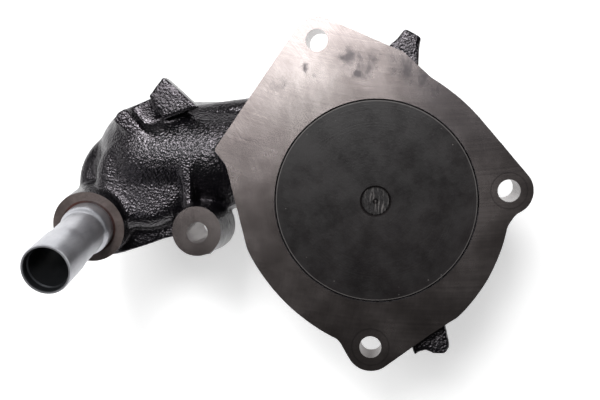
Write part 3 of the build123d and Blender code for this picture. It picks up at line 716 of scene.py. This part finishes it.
def tapped_hole(side):
    """One of the two tapped holes beside the outlet, level with its middle."""
    centre, away, dims = mount("outlet_bolts")
    beside = away.cross(Vector((0, 0, 1))).normalized() * (side * dims["pcd_mm"] / 2 * MM)
    place = tilt_from(centre + beside, away)
    name = f"cut_tap_{side}"
    return cylinder_at(name, OUTLET_TAP_R, -OUTLET_TAP_DEPTH, ABOVE_OUTLET, segments=48, tilt=place)


def casting_blank():
    """The casting before machining: stock on every machined plane, and its drilled holes still solid."""
    blank = welded_copy(frame["nodes"]["pump_housing"], "pump_casting")
    points = get_points(blank.data)
    seat, lean = seat_placement()
    outlet, away = outlet_placement()
    grow_plane(points, (0, 0, 0), (0, 0, 1), FACE_GROWTH)
    grow_plane(points, seat.translation, lean, FACE_GROWTH)
    grow_plane(points, outlet.translation, away, FACE_GROWTH)
    set_points(blank.data, points)
    plugs = [cylinder_at(f"plug_{i}", BOLT_HOLE_R + 0.4 * MM, -18 * MM, FACE_GROWTH, (x * MM, y * MM), 48)
             for i, (x, y) in enumerate(BOLT_HOLES)]
    plugs.append(cylinder_at("plug_seat", SOCKET_MOUTH_R + MM, -11 * MM, FACE_GROWTH, tilt=seat))
    join_into(blank, plugs)
    return blank


def join_into(piece, others):
    """Add other meshes to a piece as loose shells; the remesh makes one skin of them."""
    bm = bmesh.new()
    bm.from_mesh(piece.data)
    for other in others:
        bm.from_mesh(other.data)
        bpy.data.objects.remove(other)
    bm.to_mesh(piece.data)
    bm.free()


def make_casting(floor_z, looks):
    """The visible casting: a skin over the blank, filleted, sand-cast and then machined."""
    piece = casting_blank()
    step = piece.modifiers.new("skin", "REMESH")
    step.mode = "VOXEL"
    step.voxel_size = VOXEL
    apply_all(piece)
    cast_fillets(piece.data, FILLET_STEPS, CONVEX_SHARE)
    cast_fillets(piece.data, SMOOTH_STEPS, 1.0)
    sand_surface(piece.data, SAND_HEIGHT)
    low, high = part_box("pump_housing")
    points = get_points(piece.data)
    # stay inside the CAD box sideways, with stock left above and below for the cuts
    low_limit = np.array(low) + np.array((BOX_MARGIN, BOX_MARGIN, -3.0 * MM))
    high_limit = np.array(high) + np.array((-BOX_MARGIN, -BOX_MARGIN, 20.0 * MM))
    set_points(piece.data, np.clip(points, low_limit, high_limit))
    faces = sum(len(p.vertices) - 2 for p in piece.data.polygons)
    if faces > MAX_TRIANGLES:
        step = piece.modifiers.new("thin", "DECIMATE")
        step.ratio = MAX_TRIANGLES / faces
        apply_all(piece)
    for cutter in machining_cuts(floor_z):
        cut_away(piece, cutter)
    finish_faces(piece, floor_z, looks)
    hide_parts("pump_housing")
    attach(piece, "root")


def finish_faces(piece, floor_z, looks):
    """Bare iron on the machined faces and bores, paint on the rest, and crisp edges between them."""
    mesh = piece.data
    mesh.materials.clear()
    for material in looks:
        mesh.materials.append(material)
    seat, lean = seat_placement()
    outlet, away = outlet_placement()
    planes = [(Vector((0, 0, 0)), Vector((0, 0, 1))), (seat.translation, lean), (outlet.translation, away)]
    planes.append((Vector((0, 0, floor_z)), Vector((0, 0, -1))))
    upright_bores = [((x * MM, y * MM), BOLT_HOLE_R) for x, y in BOLT_HOLES]
    upright_bores += [((0.0, 0.0), r) for r in (BORE_R, SEAL_BORE_R, BEARING_R)]
    near = 2e-5
    for face in mesh.polygons:
        centre, normal = face.center, face.normal
        bare = any(normal.dot(n) > 0.999 and abs((centre - at).dot(n)) < near for at, n in planes)
        if not bare and abs(normal.z) < 0.02:
            away_from = [math.hypot(centre.x - x, centre.y - y) - r for (x, y), r in upright_bores]
            bare = min(abs(gap) for gap in away_from) < 6 * near
        if not bare:
            inside = seat.inverted() @ centre
            radius = math.hypot(inside.x, inside.y)
            bare = inside.z < near and min(abs(radius - SOCKET_R), abs(radius - SOCKET_MOUTH_R)) < 6 * near
        on_seat = normal.dot(lean) > 0.999 and abs((centre - seat.translation).dot(lean)) < near
        face.material_index = int(bare)
        if on_seat:
            face.material_index = 2
    mesh.shade_smooth()
    mesh.set_sharp_from_angle(angle=math.radians(SHARP_ANGLE))
    mesh.update()


# ---- scene --------------------------------------------------------------------------------------

def main():
    """Camera, lights and casting first, then a material for every CAD node that is kept."""
    floor_z = cad_box[0].z
    add_camera()
    add_studio(floor_z)
    make_casting(floor_z, (cast_paint(), milled_iron(), seat_iron()))

    tube_at, lean_axis, _ = mount("bypass_tube_end")
    lean = math.atan2(-lean_axis.y, lean_axis.z)
    steel = bright_steel("ground_steel", (0.50, 0.50, 0.51), (0.38, 0.38, 0.39), 0.22, 0.34)
    spring = bright_steel("spring_steel", (0.42, 0.42, 0.43), (0.30, 0.30, 0.31), 0.30, 0.42)
    hub = bright_steel("hub_iron", (0.17, 0.16, 0.155), (0.10, 0.095, 0.092), 0.36, 0.5, 0.8)
    brass = bright_steel("pressed_brass", (0.80, 0.60, 0.30), (0.66, 0.48, 0.22), 0.24, 0.36)
    rubber = soft_matt("seal_rubber", (0.020, 0.020, 0.021), (0.012, 0.012, 0.013), 0.62)
    nylon = soft_matt("cage_nylon", (0.60, 0.52, 0.36), (0.50, 0.43, 0.29), 0.5)
    carbon = soft_matt("seal_carbon", (0.035, 0.035, 0.037), (0.022, 0.022, 0.024), 0.34)
    ceramic = soft_matt("seal_ceramic", (0.85, 0.84, 0.80), (0.78, 0.77, 0.73), 0.22, 900.0, 0.00002)
    red, dark_red = (0.075, 0.026, 0.020), (0.020, 0.010, 0.009)
    compound = soft_matt("retaining_compound", red, dark_red, 0.45, 420.0, 0.0004)
    looks = {
        "bypass_tube": zinc_tube(tube_at, lean),
        "tube_sealant": compound,
        "shaft": shaft_steel(), "bearing_outer_ring": steel, "bearing_balls": steel, "bearing_rollers": steel,
        "impeller": impeller_iron(),
        "pulley_hub": hub,
        "slinger": spring, "seal_spring": spring, "bearing_circlip": spring,
        "seal_cup": brass, "carbon_ferrule": brass,
        "seat_rubber_cup": rubber, "seal_bellows": rubber,
        "rear_bearing_seal": rubber, "front_bearing_seal": rubber,
        "ball_cage": nylon, "roller_cage": nylon,
        "carbon_ring": carbon,
        "ceramic_seat": ceramic,
    }
    for node, material in looks.items():
        paint_node(node, material)


main()
